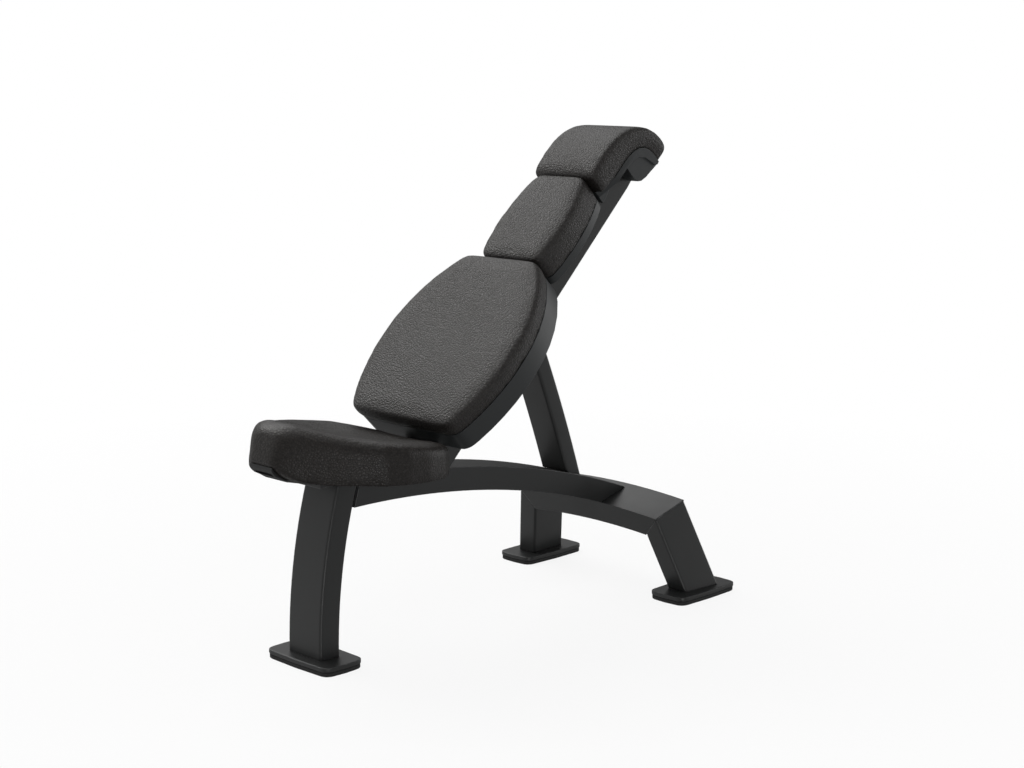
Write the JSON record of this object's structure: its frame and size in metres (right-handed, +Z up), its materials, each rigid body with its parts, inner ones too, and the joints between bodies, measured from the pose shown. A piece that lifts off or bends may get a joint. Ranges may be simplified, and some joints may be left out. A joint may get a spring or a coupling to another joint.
{
  "type": "weight_bench",
  "caption": "Inclined exercise bench on a curved oblong-tube frame: saddle seat with a narrow nose, hinged backrest spine with three moulded pads, arched rear stand and plate feet",
  "frame": {"origin": "on the floor under the middle of the bench's bounding box", "axes": "+Z up, X across the bench, the sitter faces -Y, and the backrest leans back toward +Y"},
  "size_m": [0.5702, 1.111, 1.0257],
  "materials": {
    "coat": "satin charcoal powder coat",
    "vinyl": "grained warm dark grey vinyl",
    "shell": "smooth semi-matt dark grey",
    "board": "plain plywood",
    "rubber": "matt black",
    "nylon": "matt black",
    "zinc": "zinc plated"
  },
  "bodies": {
    "frame": {"foot_pad_front": "rubber", "foot_pad_left": "rubber", "foot_pad_right": "rubber", "foot_plate_front": "coat", "foot_plate_left": "coat", "foot_plate_right": "coat", "front_leg": "coat", "leg_cap": "nylon", "leg_flange": "coat", "main_beam": "coat", "rear_crossmember": "coat", "rear_leg_left": "coat", "rear_leg_right": "coat", "support_strut": "coat", "bump_stop": "rubber", "bar_guide_left": "nylon", "bar_guide_right": "nylon", "lock_housing": "zinc", "lock_spring": "zinc", "hinge_lug_left": "coat", "hinge_lug_right": "coat", "hinge_pin": "zinc", "hinge_clip_left": "zinc", "hinge_clip_right": "zinc", "seat_bracket": "coat", "seat_shell": "shell", "seat_cushion": "vinyl"},
    "backrest": {"back_spine": "coat", "hinge_ear_left": "coat", "hinge_ear_right": "coat", "hinge_bush_left": "nylon", "hinge_bush_right": "nylon", "adjuster_bar": "zinc", "main_mount": "coat", "main_board": "board", "main_shell": "shell", "main_cushion": "vinyl", "mid_mount": "coat", "mid_board": "board", "mid_shell": "shell", "mid_cushion": "vinyl", "head_mount": "coat", "head_board": "board", "head_shell": "shell", "head_cushion": "vinyl"},
    "lock": {"lock_pin": "zinc", "lock_knob": "nylon"}
  },
  "joints": [
    {"name": "backrest_hinge", "type": "hinge", "parent": "frame", "child": "backrest", "pos_m": [0, -0.1515, 0.388], "axis": [1, 0, 0], "range_deg": [0, 15]},
    {"name": "lock_pull", "type": "slide", "parent": "frame", "child": "lock", "axis": [-1, 0, 0], "range_m": [0, 0.012], "stiffness_N_per_m": 800, "deforming": ["lock_spring"]}
  ]
}
